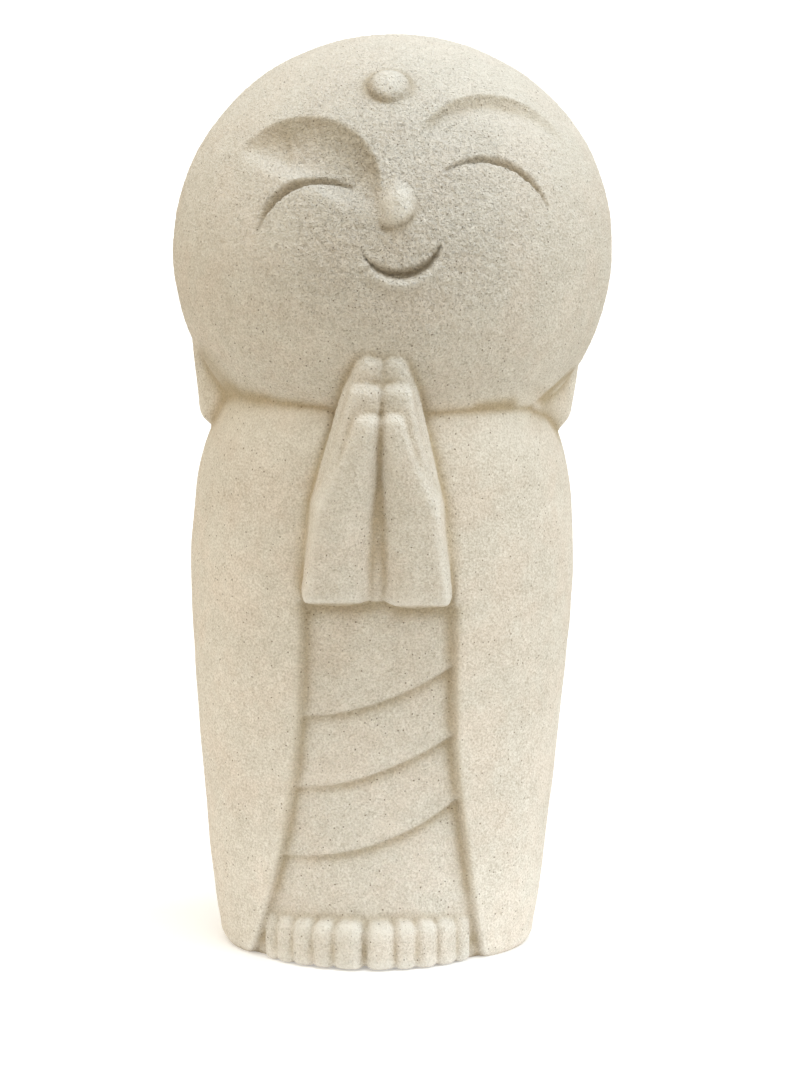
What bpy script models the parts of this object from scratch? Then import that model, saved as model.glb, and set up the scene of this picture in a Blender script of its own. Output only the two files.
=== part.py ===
# Praying monk figurine, cast as one piece in sandy stone.
# Metres, +Z up, the figure faces -Y, and the origin is the middle of the flat underside.
# Sizes marked U are shares of the figure's height, so the pose and the proportions stay together.

import math

import bmesh
import bpy
import numpy as np
from mathutils import Matrix, Vector

HEIGHT = 0.400
U = HEIGHT / 400

# How finely the blocked-out forms are fused, and the faces that the finished solid keeps
FUSE_CELL = 1.1 * U
FUSE_SMOOTHING_STEPS = 3
FUSE_SMOOTHING_FACTOR = 0.5
SOLID_TRIANGLES = 9800
BALL_FINENESS = 4
HEAD_FINENESS = 6

# Head: one ball, tipped a little towards the figure's right and set off the robe's middle line
HEAD_WIDTH = 190 * U
HEAD_DEPTH = 176 * U
HEAD_HEIGHT = 187 * U
HEAD_SIDE_SHIFT = 7 * U
HEAD_FORWARD_SHIFT = 2 * U
HEAD_FULLER = 3.2 * U  # how much further it bulges at the upper right
FACE_TURN = math.radians(3)
FACE_LIFT = math.radians(19)
FACE_TILT = math.radians(5.5)

# Robe: a barrel of rounded sections from the ground to inside the head
HEAD_SEAT = 51 * U
ROBE_WIDTH = 167 * U
ROBE_DEPTH = 148 * U
ROBE_SIDE_SHIFT = 0.2 * U
ROBE_LEAN = 3.2 * U
ROBE_SQUARENESS = 2.25
SHOULDER_SQUARENESS = 2.6
SHOULDERS = (0.76, 0.9)  # shares of the robe's height between which its squareness changes
ROBE_RINGS = 160
ROBE_SEGMENTS = 240
# Share of the robe's height, of its width and of its depth
ROBE_PROFILE = (
    (-0.030, 0.770, 0.680),
    (0.000, 0.788, 0.698),
    (0.010, 0.812, 0.722),
    (0.035, 0.829, 0.740),
    (0.110, 0.865, 0.778),
    (0.240, 0.908, 0.832),
    (0.390, 0.950, 0.890),
    (0.550, 0.990, 0.950),
    (0.640, 1.000, 0.980),
    (0.725, 0.988, 0.998),
    (0.800, 0.960, 1.000),
    (0.850, 0.914, 0.992),
    (0.898, 0.850, 0.974),
    (0.924, 0.812, 0.950),
    (0.948, 0.735, 0.905),
    (0.978, 0.600, 0.740),
    (1.000, 0.360, 0.420),
)

# The robe's front opening, which shows the wrapped cloth under it. For its left and its right edge:
# distance from the middle, how much more at the floor, height at which it starts to flare, and how
# sharply it does
OPENING_EDGES = (
    (33.3 * U, 23.0 * U, 165.0 * U, 2.4),
    (35.6 * U, 12.5 * U, 105.0 * U, 1.35),
)
OPENING_TOP_HALF_WIDTH = 19 * U
OPENING_CHEST = 165 * U
OPENING_DEPTH = 3.6 * U
OPENING_FOOT_DEPTH = 5.5 * U
OPENING_FOOT_FROM = 80 * U
OPENING_TOP_SHARE = 0.3  # share of the depth left at the neck
OPENING_BEVEL = 4.2 * U
# Share of the depth by which the cloth swells back out in the middle, above and at the floor
OPENING_BULGE = 0.45
OPENING_FOOT_BULGE = 1.5

# Wrapped cloth: each fold's height at the left edge of the opening, its rise to the right edge, and
# how late it rises
FOLDS = (
    (112.5 * U, 24.5 * U, 1.8),
    (80.0 * U, 26.0 * U, 1.8),
    (48.5 * U, 28.5 * U, 2.1),
)
FOLD_STEP = 2.2 * U
FOLD_LEFT_SHARE = 0.4  # share of the step at the left edge
FOLD_FULL_FROM = 0.4  # share of the opening's width at which the step is full
FOLD_REACH = 12 * U
FOLD_EDGE = 1.4 * U

# Hands, palm to palm, from the heels of the hands up to the fingertips at the chin
CHIN_TO_FINGERTIPS = 63 * U
HANDS_LENGTH = 112 * U
HEEL_PROUD = 11 * U
FINGERTIPS_PROUD = 7 * U
HANDS_FOOT_SHIFT = 0.3 * U
HANDS_TOP_SHIFT = 3.0 * U
HANDS_LEAN_POWER = 2.2  # how late the pair starts to lean over
PALM_LINE_SHIFT = 0.6 * U
HEEL_SHARE = 0.3  # share of the length that the heels take up
RIGHT_HEEL_DROP = 1.2 * U
HEEL_CORNER_RAISE = 4.0 * U
# Each layer: radius of its edge along the palms and of its outer edge, then for each station the
# share of the hands' length, half the width of the pair, the gap between the palms, the set-back of
# the front, the depth and the roundness
HAND_LAYERS = (
    (2.5 * U, 5.0 * U, (
        (0.060, 32.2 * U, 3.0 * U, 6.5 * U, 12.0 * U, 6.5 * U),
        (0.375, 28.8 * U, 1.5 * U, 5.5 * U, 12.0 * U, 12.0 * U),
        (0.620, 22.0 * U, 0.0 * U, 4.8 * U, 11.0 * U, 9.0 * U),
        (0.825, 16.5 * U, 0.0 * U, 5.6 * U, 8.5 * U, 6.8 * U),
        (0.940, 11.9 * U, 0.0 * U, 4.6 * U, 7.0 * U, 6.6 * U),
    )),
    (3.0 * U, 2.6 * U, (
        (0.470, 24.4 * U, 0.4 * U, 1.8 * U, 11.0 * U, 9.0 * U),
        (0.650, 18.6 * U, 0.0 * U, 1.0 * U, 9.0 * U, 7.5 * U),
        (0.838, 13.6 * U, 0.0 * U, 0.8 * U, 6.5 * U, 6.0 * U),
    )),
    (8.5 * U, 3.0 * U, (
        (0.060, 32.2 * U, 0.8 * U, 0.0 * U, 14.0 * U, 6.5 * U),
        (0.370, 28.0 * U, 0.4 * U, -0.8 * U, 13.5 * U, 12.0 * U),
        (0.580, 17.4 * U, 0.0 * U, -2.6 * U, 10.5 * U, 8.0 * U),
        (0.732, 11.6 * U, 0.0 * U, -3.2 * U, 6.8 * U, 5.6 * U),
    )),
)
# Shares of the layer's own depth and roundness that its edges have
HAND_EDGE_DEPTH = 0.92
HAND_EDGE_ROUNDNESS = 0.85
# What lies between the palms: share of the hands' length, half width, and how far it is set back
PALM_CORE = (
    (0.120, 12.0 * U, 4.2 * U),
    (0.900, 6.5 * U, 5.6 * U),
)
PALM_CORE_DEPTH = 26 * U

# Feet: toes side by side along a bow in front of the robe
TOE_BOW_HALF_WIDTH = 60 * U
TOE_BOW_DEPTH = 65.5 * U
TOE_BOW_SHIFT = -2.0 * U
TOE_HEIGHT = 21 * U
TOE_BACK_HEIGHT = 27.5 * U
TOE_LENGTH = 24 * U
TOE_ROUNDING = 0.36  # share of a toe's width
TOE_TOP_ROUNDING = 5.5 * U
TOE_SOLE_ROUNDING = 2.5 * U
LEFT_TOES_FROM = -6.3 * U
RIGHT_TOES_FROM = -4.1 * U
LEFT_TOES = (13.7 * U, 9.55 * U, 10.8 * U, 9.35 * U, 7.8 * U)
RIGHT_TOES = (12.7 * U, 10.0 * U, 10.3 * U, 10.8 * U, 8.0 * U)

# Ears: flat against the back half of the head, ending in long lobes that rest on the shoulders.
# For the left and the right ear: distance out from the middle, y, height above the head's lowest
# point, and radii
EARS_MIDDLE = 4.2 * U
EAR_LOBES = (
    (76.6 * U, 6.0 * U, 25.5 * U, (5.0 * U, 10.0 * U, 8.5 * U)),
    (76.1 * U, 6.0 * U, 24.8 * U, (5.0 * U, 10.0 * U, 9.0 * U)),
)
EAR_TIPS = (
    (70.8 * U, 4.0 * U, 18.3 * U, (5.0 * U, 8.5 * U, 5.5 * U)),
    (71.8 * U, 4.0 * U, 17.6 * U, (5.0 * U, 8.5 * U, 5.5 * U)),
)
EAR_CHEEKS = (
    (60.0 * U, -14.0 * U, 36.0 * U, (4.0 * U, 4.0 * U, 4.0 * U)),
    (62.5 * U, -34.0 * U, 33.0 * U, (4.0 * U, 4.0 * U, 4.0 * U)),
)
# These lie against the head, sunk into it: y, height, radii, and how deep on the left and the right
EAR_NECK = (20.0 * U, 56.5 * U, (4.5 * U, 13.0 * U, 12.0 * U), (0.4 * U, 4.6 * U))
EAR_TOP = (33.0 * U, 86.0 * U, (5.5 * U, 17.0 * U, 23.0 * U), (1.5 * U, 1.5 * U))
EAR_HOLLOW_DEPTH = 3.5 * U
EAR_HOLLOW_RADII = (10.0 * U, 20.0 * U)
EAR_HOLLOW_FLOOR = 0.4  # share of those radii within which it is full depth
# Crease in front of the right ear: x and height above the head's lowest point of both ends, width of
# the step, its depth, and the distance over which it fades
CREASE_FROM = (68.6 * U, 33.4 * U)
CREASE_TO = (84.6 * U, 46.4 * U)
CREASE_STEP = 0.8 * U
CREASE_DEPTH = 4.4 * U
CREASE_FADE = 7.0 * U
CREASE_TAPER = 2.0 * U
CREASE_FRONT = (2.0 * U, -8.0 * U)  # y between which it starts

# Face, in the face's own plane: across, up
FACE_FRONT = 0.35  # share of the head's depth in front of its middle from which it is carved
NOSE_TIP = (-0.6 * U, 3.4 * U)
NOSE_RAISE = 6.8 * U
NOSE_SIDE_REACH = 8.6 * U
NOSE_UP_REACH = 11.5 * U
NOSE_DOWN_REACH = 8.0 * U
NOSE_SLANT = 0.33
NOSE_SOFTNESS = 1.15
NOSE_CRISPNESS = 0.8  # how much crisper it is below
BRIDGE_WIDTH = 9 * U
BRIDGE_LENGTH = 30 * U
BRIDGE_RAISE = 1.5 * U
BRIDGE_TAPER = 6 * U
FOREHEAD_DOT = (1.8 * U, 58.4 * U)
FOREHEAD_DOT_REACH = (9.0 * U, 7.8 * U)
FOREHEAD_DOT_RAISE = 5.0 * U
FOREHEAD_DOT_FLATNESS = 2.4
FOREHEAD_DOT_SOFTNESS = 0.8
FOREHEAD_DOT_CRISPNESS = 0.3  # how much crisper it is on its steep side
FOREHEAD_DOT_STEEP_SIDE = math.radians(225)

# Grooves between two arcs: centre and radius of the arc where the floor starts down and of the arc
# where it comes back up, start, end and their tapers in degrees, and the slope of the floor
EYES = (
    ((-37.4 * U, -2.8 * U), 25.0 * U, (-35.3 * U, -10.8 * U), 28.6 * U, 40, 174, 25, 25, 1.5),
    ((36.5 * U, -5.0 * U), 27.9 * U, (34.4 * U, -10.6 * U), 30.4 * U, 5, 134, 25, 25, 1.5),
)
MOUTH = ((-1.9 * U, -2.3 * U), 20.0 * U, (-1.6 * U, -9.3 * U), 17.6 * U, -143, -28, 4, 10, 1.6)
GROOVE_BACK = 0.78  # share of a groove's width where its floor turns back up
LIP_RAISE = 2.7 * U
LIP_WIDTH = 2.0 * U
LIP_MIDDLE = -90
LIP_SPREAD = 52

# Brows: centre and radius of the arc along a recess's upper edge and of the arc where its floor
# starts back up, start, end and tapers in degrees, then the width that is cut to full depth, the
# depth, the distance over which the floor comes back up, and how steeply it starts
BROWS = (
    ((-40.2 * U, 17.1 * U), 33.2 * U, (-80.2 * U, -38.1 * U), 81.0 * U, -34, 150, 14, 4,
     14.0 * U, 6.0 * U, 12.0 * U, 2.6),
    ((42.3 * U, 15.5 * U), 36.2 * U, (43.3 * U, 13.6 * U), 34.0 * U, 24, 146, 50, 12,
     3.6 * U, 2.7 * U, 16.0 * U, 1.6),
)
TINY = 1e-9  # keeps a division from failing

STONE_COLOUR = (0.74, 0.69, 0.58, 1.0)
STONE_ROUGHNESS = 0.95

HEAD_RADII = Vector((HEAD_WIDTH, HEAD_DEPTH, HEAD_HEIGHT)) / 2
HEAD_CENTRE = Vector((HEAD_SIDE_SHIFT, -HEAD_FORWARD_SHIFT, HEIGHT - HEAD_HEIGHT / 2))
HEAD_BOTTOM = HEIGHT - HEAD_HEIGHT
ROBE_TOP = HEAD_BOTTOM + HEAD_SEAT
HANDS_TOP = HEAD_BOTTOM + CHIN_TO_FINGERTIPS
HANDS_FOOT = HANDS_TOP - HANDS_LENGTH


def clear_scene():
    for obj in list(bpy.data.objects):
        bpy.data.objects.remove(obj)


def smoothstep(low, high, value):
    t = np.clip((value - low) / (high - low), 0.0, 1.0)
    return t * t * (3 - 2 * t)


def smooth_profile(at, table):
    """Values of the table's later columns at heights `at`, on a smooth curve through its rows."""
    rows = np.array(table)
    knots = rows[:, 0]
    values = rows[:, 1:]
    slopes = np.gradient(values, knots, axis=0)
    low = np.clip(np.searchsorted(knots, at) - 1, 0, len(knots) - 2)
    span = (knots[low + 1] - knots[low])[:, None]
    t = (at - knots[low])[:, None] / span
    return (
        (2 * t**3 - 3 * t**2 + 1) * values[low]
        + (t**3 - 2 * t**2 + t) * span * slopes[low]
        + (3 * t**2 - 2 * t**3) * values[low + 1]
        + (t**3 - t**2) * span * slopes[low + 1]
    )


# The face's own axes: out of the face, across it to the viewer's right, and up
def face_axes():
    turn = Matrix.Rotation(FACE_TURN, 3, "Z")
    lift = Matrix.Rotation(-FACE_LIFT, 3, "X")
    tilt = Matrix.Rotation(-FACE_TILT, 3, "Y")
    axes = turn @ lift @ tilt
    return axes @ Vector((0, -1, 0)), axes @ Vector((1, 0, 0)), axes @ Vector((0, 0, 1))


FACE_OUT, FACE_ACROSS, FACE_UP = face_axes()


def head_side(side, y, z):
    """x of the head's ball at depth y and height z, on the side -1 or 1."""
    across_y = (y - HEAD_CENTRE.y) / HEAD_RADII.y
    up_z = (z - HEAD_CENTRE.z) / HEAD_RADII.z
    return HEAD_CENTRE.x + side * HEAD_RADII.x * math.sqrt(max(0.0, 1 - across_y**2 - up_z**2))


def add_ball(forms, centre, radii, fineness=BALL_FINENESS):
    place = Matrix.Translation(centre) @ Matrix.Diagonal((*radii, 1))
    return bmesh.ops.create_icosphere(forms, subdivisions=fineness, radius=1, matrix=place)["verts"]


def add_head(forms):
    for v in add_ball(forms, HEAD_CENTRE, HEAD_RADII, HEAD_FINENESS):
        across = (v.co.x - HEAD_CENTRE.x) / HEAD_RADII.x
        up = (v.co.z - HEAD_CENTRE.z) / HEAD_RADII.z
        v.co.x += HEAD_FULLER * max(across, 0) * max(up, 0)


def add_hull(forms, balls):
    """A closed form stretched over balls, each a centre and radii."""
    shape = bmesh.new()
    for centre, radii in balls:
        add_ball(shape, centre, radii)
    bmesh.ops.convex_hull(shape, input=shape.verts)
    loose = [v for v in shape.verts if not v.link_faces]
    bmesh.ops.delete(shape, geom=loose, context="VERTS")
    bmesh.ops.recalc_face_normals(shape, faces=shape.faces)
    mesh = bpy.data.meshes.new("form")
    shape.to_mesh(mesh)
    shape.free()
    forms.from_mesh(mesh)
    bpy.data.meshes.remove(mesh)


def opening_span(z):
    """Left and right edge of the robe's front opening at height z."""
    chest = np.clip((z - OPENING_CHEST) / (ROBE_TOP - OPENING_CHEST), 0, 1)
    spans = []
    for side, (half_width, flare, flare_from, power) in zip((-1, 1), OPENING_EDGES):
        flared = flare * np.clip((flare_from - z) / flare_from, 0, None) ** power
        narrowing = (half_width - OPENING_TOP_HALF_WIDTH) * chest
        spans.append(side * (half_width + flared - narrowing))
    return spans


def opening_recess(x, z):
    """How far the cloth in the opening lies behind the robe's own surface."""
    left, right = opening_span(z)
    inside = smoothstep(0, OPENING_BEVEL, np.minimum(x - left, right - x))
    at_foot = smoothstep(OPENING_FOOT_FROM, 0, z)
    depth = OPENING_DEPTH + (OPENING_FOOT_DEPTH - OPENING_DEPTH) * at_foot
    bulge = OPENING_BULGE + (OPENING_FOOT_BULGE - OPENING_BULGE) * at_foot
    fade = 1 - (1 - OPENING_TOP_SHARE) * smoothstep(OPENING_CHEST, ROBE_TOP, z)
    across = (2 * x - left - right) / (right - left)
    return inside * depth * fade * (1 - bulge * np.clip(1 - across**2, 0, 1))


def add_robe(forms):
    """The robe as a loft of rounded sections, set back inside its front opening."""
    shares = np.linspace(ROBE_PROFILE[0][0], ROBE_PROFILE[-1][0], ROBE_RINGS)
    sizes = smooth_profile(shares, ROBE_PROFILE)
    angles = np.linspace(0, 2 * math.pi, ROBE_SEGMENTS, endpoint=False)
    cos, sin = np.cos(angles), np.sin(angles)
    rings = []
    for share, (width, depth) in zip(shares, sizes):
        z = share * ROBE_TOP
        squareness = ROBE_SQUARENESS + (SHOULDER_SQUARENESS - ROBE_SQUARENESS) * smoothstep(*SHOULDERS, share)
        x = np.sign(cos) * np.abs(cos) ** (2 / squareness) * width * ROBE_WIDTH / 2
        x += ROBE_SIDE_SHIFT + ROBE_LEAN * smoothstep(0, 1, share)
        y = np.sign(sin) * np.abs(sin) ** (2 / squareness) * depth * ROBE_DEPTH / 2
        y = np.where(y < 0, y + opening_recess(x, z), y)
        rings.append([forms.verts.new((a, b, z)) for a, b in zip(x, y)])
    for lower, upper in zip(rings, rings[1:]):
        for i in range(ROBE_SEGMENTS):
            j = (i + 1) % ROBE_SEGMENTS
            forms.faces.new((lower[i], lower[j], upper[j], upper[i]))
    forms.faces.new(rings[0][::-1])
    forms.faces.new(rings[-1])


def hands_front(share):
    """y of the hands' front: the fingertips lean out to the chin, the heels rest on the robe."""
    rise = (HANDS_TOP - HEAD_CENTRE.z) / HEAD_RADII.z
    chin = HEAD_CENTRE.y - HEAD_RADII.y * math.sqrt(max(0.0, 1 - rise * rise))
    foot = -ROBE_DEPTH / 2 - HEEL_PROUD
    return foot + (chin - FINGERTIPS_PROUD - foot) * share


def hands_middle(share):
    return HANDS_FOOT_SHIFT + (HANDS_TOP_SHIFT - HANDS_FOOT_SHIFT) * share**HANDS_LEAN_POWER


def hand_station(side, inner_radius, outer_radius, station):
    """Balls across one hand at one station: its body, then its edge along the palms and its outer edge."""
    share, half_width, gap, set_back, depth, roundness = station
    inner = hands_middle(share) + PALM_LINE_SHIFT + side * gap / 2
    outer = hands_middle(share) + side * half_width
    half = abs(outer - inner) / 2
    at_heel = smoothstep(HEEL_SHARE, 0, share)
    y = hands_front(share) + set_back + depth
    z = HANDS_FOOT + share * HANDS_LENGTH - RIGHT_HEEL_DROP * (side > 0) * at_heel
    edges = (
        (inner + side * min(inner_radius, half), min(inner_radius, half), z + HEEL_CORNER_RAISE * at_heel),
        (outer - side * min(outer_radius, half), min(outer_radius, half), z),
    )
    balls = [(Vector(((inner + outer) / 2, y, z)), (half, depth, roundness))]
    for x, radius, height in edges:
        radii = (radius, depth * HAND_EDGE_DEPTH, roundness * HAND_EDGE_ROUNDNESS)
        balls.append((Vector((x, y, height)), radii))
    return balls


def add_hands(forms):
    for side in (-1, 1):
        for inner_radius, outer_radius, stations in HAND_LAYERS:
            rows = [hand_station(side, inner_radius, outer_radius, station) for station in stations]
            for lower, upper in zip(rows, rows[1:]):
                add_hull(forms, lower + upper)
    core = []
    for share, half_width, set_back in PALM_CORE:
        centre = Vector((
            hands_middle(share),
            hands_front(share) + set_back + PALM_CORE_DEPTH / 2,
            HANDS_FOOT + share * HANDS_LENGTH,
        ))
        core.append((centre, (half_width, PALM_CORE_DEPTH / 2, half_width)))
    add_hull(forms, core)


def toe(middle, width):
    """The balls of one toe, at its place along the bow."""
    front = Vector((
        TOE_BOW_SHIFT + TOE_BOW_HALF_WIDTH * math.sin(middle),
        -TOE_BOW_DEPTH * math.cos(middle),
        0,
    ))
    out = Vector((math.sin(middle) / TOE_BOW_HALF_WIDTH, -math.cos(middle) / TOE_BOW_DEPTH, 0))
    out.normalize()
    radius = width * TOE_ROUNDING
    aside = Vector((-out.y, out.x, 0)) * (width / 2 - radius)
    balls = []
    for back, top in ((radius, TOE_HEIGHT), (TOE_LENGTH, TOE_BACK_HEIGHT)):
        for corner in (front - out * back - aside, front - out * back + aside):
            for height, roundness in (
                (TOE_SOLE_ROUNDING, TOE_SOLE_ROUNDING),
                (top - TOE_TOP_ROUNDING, TOE_TOP_ROUNDING),
            ):
                balls.append((corner + Vector((0, 0, height)), (radius, radius, roundness)))
    return balls


def add_toes(forms):
    """Toes side by side along the bow, outward from the gap between the feet."""
    for side, start, widths in ((-1, LEFT_TOES_FROM, LEFT_TOES), (1, RIGHT_TOES_FROM, RIGHT_TOES)):
        angle = math.asin((start - TOE_BOW_SHIFT) / TOE_BOW_HALF_WIDTH)
        for width in widths:
            run = math.hypot(TOE_BOW_HALF_WIDTH * math.cos(angle), TOE_BOW_DEPTH * math.sin(angle))
            turn = side * width / run
            add_hull(forms, toe(angle + turn / 2, width))
            angle += turn


def add_ears(forms):
    for i, side in enumerate((-1, 1)):
        lobe, tip, cheek = (
            (Vector((EARS_MIDDLE + side * out, y, HEAD_BOTTOM + up)), radii)
            for out, y, up, radii in (EAR_LOBES[i], EAR_TIPS[i], EAR_CHEEKS[i])
        )
        neck, top = (
            (Vector((head_side(side, y, HEAD_BOTTOM + up) - side * sinks[i], y, HEAD_BOTTOM + up)), radii)
            for y, up, radii, sinks in (EAR_NECK, EAR_TOP)
        )
        add_hull(forms, (lobe, tip, cheek))
        add_hull(forms, (lobe, neck, cheek))
        add_hull(forms, (neck, top))


def block_out():
    """All forms in one mesh, still overlapping."""
    forms = bmesh.new()
    add_head(forms)
    add_robe(forms)
    add_hands(forms)
    add_toes(forms)
    add_ears(forms)
    mesh = bpy.data.meshes.new("blocked_out")
    forms.to_mesh(mesh)
    forms.free()
    return bpy.data.objects.new("praying_monk", mesh)


def replace_by_result(obj):
    """Puts what the object's modifiers make in place of its mesh."""
    graph = bpy.context.evaluated_depsgraph_get()
    result = bpy.data.meshes.new_from_object(obj.evaluated_get(graph))
    before = obj.data
    obj.modifiers.clear()
    obj.data = result
    bpy.data.meshes.remove(before)


def fuse(obj):
    """Fuses the overlapping forms into one skin and softens where they meet, as a casting is."""
    remesh = obj.modifiers.new("fuse", "REMESH")
    remesh.mode = "VOXEL"
    remesh.voxel_size = FUSE_CELL
    smooth = obj.modifiers.new("soften", "SMOOTH")
    smooth.factor = FUSE_SMOOTHING_FACTOR
    smooth.iterations = FUSE_SMOOTHING_STEPS
    replace_by_result(obj)


def arc(across, up, centre, radius):
    """Distance outside an arc's circle, and the angle round it in degrees."""
    a, b = across - centre[0], up - centre[1]
    return np.hypot(a, b) - radius, np.degrees(np.arctan2(b, a))


def along(angle, start, end, start_taper, end_taper):
    """1 along an arc, falling to 0 over a taper at each of its ends."""
    share = np.minimum((angle - start) / start_taper, (end - angle) / end_taper)
    return np.sqrt(np.clip(share, 0, 1))


def groove(across, up, lines, side):
    """Depth of a groove; side is 1 where it lies inside its first arc and -1 where outside."""
    centre, radius, far_centre, far_radius, start, end, start_taper, end_taper, slope = lines
    offset, angle = arc(across, up, centre, radius)
    near = -side * offset
    far = side * arc(across, up, far_centre, far_radius)[0]
    share = near / np.maximum(near + far, TINY)
    depth = slope * near * (1 - smoothstep(GROOVE_BACK, 1, share))
    return (near > 0) * (far > 0) * depth * along(angle, start, end, start_taper, end_taper)


def recess(across, up, lines):
    """Depth of the recess under a brow."""
    centre, radius, far_centre, far_radius, start, end, start_taper, end_taper = lines[:8]
    width, depth, back, steepness = lines[8:]
    offset, angle = arc(across, up, centre, radius)
    near = np.maximum(-offset, 0)
    far = arc(across, up, far_centre, far_radius)[0]
    spread = np.maximum(near + far, TINY)
    full = along(angle, start, end, start_taper, end_taper) * np.clip(spread / width, 0, 1)
    into = 1 - (1 - np.clip(near / spread, 0, 1)) ** steepness
    return (near + far > 0) * full * depth * into * (1 - smoothstep(0, back, -far))


def nose(across, up):
    """A round tip with a crisp edge below, and a low bridge above."""
    aside = across - NOSE_TIP[0]
    above = up - NOSE_TIP[1]
    slanted = above - NOSE_SLANT * aside
    a = aside / NOSE_SIDE_REACH
    b = slanted / np.where(slanted > 0, NOSE_UP_REACH, NOSE_DOWN_REACH)
    far = np.hypot(a, b)
    lower = np.clip(-b / np.maximum(far, TINY), 0, 1)
    tip = NOSE_RAISE * np.clip(1 - far**2, 0, 1) ** (NOSE_SOFTNESS - NOSE_CRISPNESS * lower)
    bridge = BRIDGE_RAISE * np.exp(-((aside / BRIDGE_WIDTH) ** 2)) * smoothstep(0, BRIDGE_TAPER, above)
    return tip + bridge * smoothstep(BRIDGE_LENGTH, BRIDGE_TAPER, above)


def forehead_dot(across, up):
    """A flat round dot, steeper on one side."""
    a, b = across - FOREHEAD_DOT[0], up - FOREHEAD_DOT[1]
    far = np.hypot(a / FOREHEAD_DOT_REACH[0], b / FOREHEAD_DOT_REACH[1])
    facing = np.cos(np.arctan2(b, a) - FOREHEAD_DOT_STEEP_SIDE)
    softness = FOREHEAD_DOT_SOFTNESS - FOREHEAD_DOT_CRISPNESS * facing
    return FOREHEAD_DOT_RAISE * np.clip(1 - far**FOREHEAD_DOT_FLATNESS, 0, 1) ** softness


def face_relief(across, up):
    """How far the face is raised (above 0) or cut (below 0) at each point of its plane."""
    relief = nose(across, up) + forehead_dot(across, up) - groove(across, up, MOUTH, -1)
    for eye, brow in zip(EYES, BROWS):
        relief -= groove(across, up, eye, 1) + recess(across, up, brow)
    offset, angle = arc(across, up, MOUTH[2], MOUTH[3])
    lip = np.exp(-(((offset - LIP_WIDTH) / LIP_WIDTH) ** 2))
    lip *= along(angle, LIP_MIDDLE - LIP_SPREAD, LIP_MIDDLE + LIP_SPREAD, LIP_SPREAD, LIP_SPREAD)
    return relief + LIP_RAISE * lip


def carve_face(points):
    from_centre = points - np.array(HEAD_CENTRE)
    across = from_centre @ np.array(FACE_ACROSS)
    up = from_centre @ np.array(FACE_UP)
    out = from_centre @ np.array(FACE_OUT)
    normal = from_centre / np.array(HEAD_RADII) ** 2
    normal /= np.linalg.norm(normal, axis=1)[:, None]
    front = out > FACE_FRONT * HEAD_RADII.y
    return points + normal * (face_relief(across, up) * front)[:, None]


def fold_depth(x, z):
    """How far the wrapped cloth lies behind its own outer surface: a step under each fold's edge."""
    left, right = opening_span(z)
    share = np.clip((x - left) / (right - left), 0, 1)
    size = FOLD_STEP * (FOLD_LEFT_SHARE + (1 - FOLD_LEFT_SHARE) * smoothstep(0, FOLD_FULL_FROM, share))
    depth = np.zeros_like(x)
    for left_height, rise, power in FOLDS:
        below = left_height + rise * share**power - z
        under = smoothstep(-FOLD_EDGE / 2, FOLD_EDGE / 2, below)
        depth += size * under * np.exp(-np.maximum(below, 0) / FOLD_REACH)
    return depth * smoothstep(0, OPENING_BEVEL, np.minimum(x - left, right - x))


def carve_folds(points):
    x, y, z = points.T
    in_cloth = (y < 0) & (z > TOE_HEIGHT) & (z < OPENING_CHEST)
    moved = points.copy()
    moved[:, 1] += np.where(in_cloth, fold_depth(x, z), 0)
    return moved


def carve_ears(points):
    reach = ((points[:, 1] - EAR_TOP[0]) / EAR_HOLLOW_RADII[0]) ** 2
    reach += ((points[:, 2] - HEAD_BOTTOM - EAR_TOP[1]) / EAR_HOLLOW_RADII[1]) ** 2
    moved = points.copy()
    side = np.sign(points[:, 0] - HEAD_CENTRE.x)
    moved[:, 0] -= side * EAR_HOLLOW_DEPTH * (1 - smoothstep(EAR_HOLLOW_FLOOR, 1, reach))
    return moved


def carve_crease(points):
    """Sets the right ear back behind the edge of the head."""
    run = Vector(CREASE_TO) - Vector(CREASE_FROM)
    a, b = run.normalized()
    x = points[:, 0] - CREASE_FROM[0]
    up = points[:, 2] - HEAD_BOTTOM - CREASE_FROM[1]
    below = x * b - up * a
    forth = x * a + up * b
    share = smoothstep(0, CREASE_STEP, below) * np.exp(-np.maximum(below, 0) / CREASE_FADE)
    share *= smoothstep(-CREASE_TAPER, CREASE_TAPER, forth)
    share *= smoothstep(run.length + CREASE_TAPER, run.length - CREASE_TAPER, forth)
    moved = points.copy()
    moved[:, 1] += CREASE_DEPTH * share * smoothstep(*CREASE_FRONT, points[:, 1])
    return moved


def carve(obj):
    """Cuts the face, the cloth's folds and the ears' hollows into the fused skin."""
    points = np.empty(len(obj.data.vertices) * 3, np.float32)
    obj.data.vertices.foreach_get("co", points)
    points = points.reshape(-1, 3).astype(float)
    for tool in (carve_face, carve_folds, carve_ears, carve_crease):
        points = tool(points)
    obj.data.vertices.foreach_set("co", points.astype(np.float32).ravel())


def thin_out(obj):
    """Keeps the faces that the carving needs and drops the rest."""
    thin = obj.modifiers.new("thin_out", "DECIMATE")
    thin.ratio = SOLID_TRIANGLES / (2 * len(obj.data.polygons))
    replace_by_result(obj)


def cut_flat(obj):
    """Cuts the figure off at the ground and closes it with one flat face."""
    skin = bmesh.new()
    skin.from_mesh(obj.data)
    everything = skin.verts[:] + skin.edges[:] + skin.faces[:]
    cut = bmesh.ops.bisect_plane(
        skin, geom=everything, plane_co=(0, 0, 0), plane_no=(0, 0, 1), clear_inner=True
    )
    rim = [e for e in cut["geom_cut"] if isinstance(e, bmesh.types.BMEdge)]
    bmesh.ops.contextual_create(skin, geom=rim)
    bmesh.ops.triangulate(skin, faces=skin.faces)
    bmesh.ops.recalc_face_normals(skin, faces=skin.faces)
    skin.to_mesh(obj.data)
    skin.free()


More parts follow.
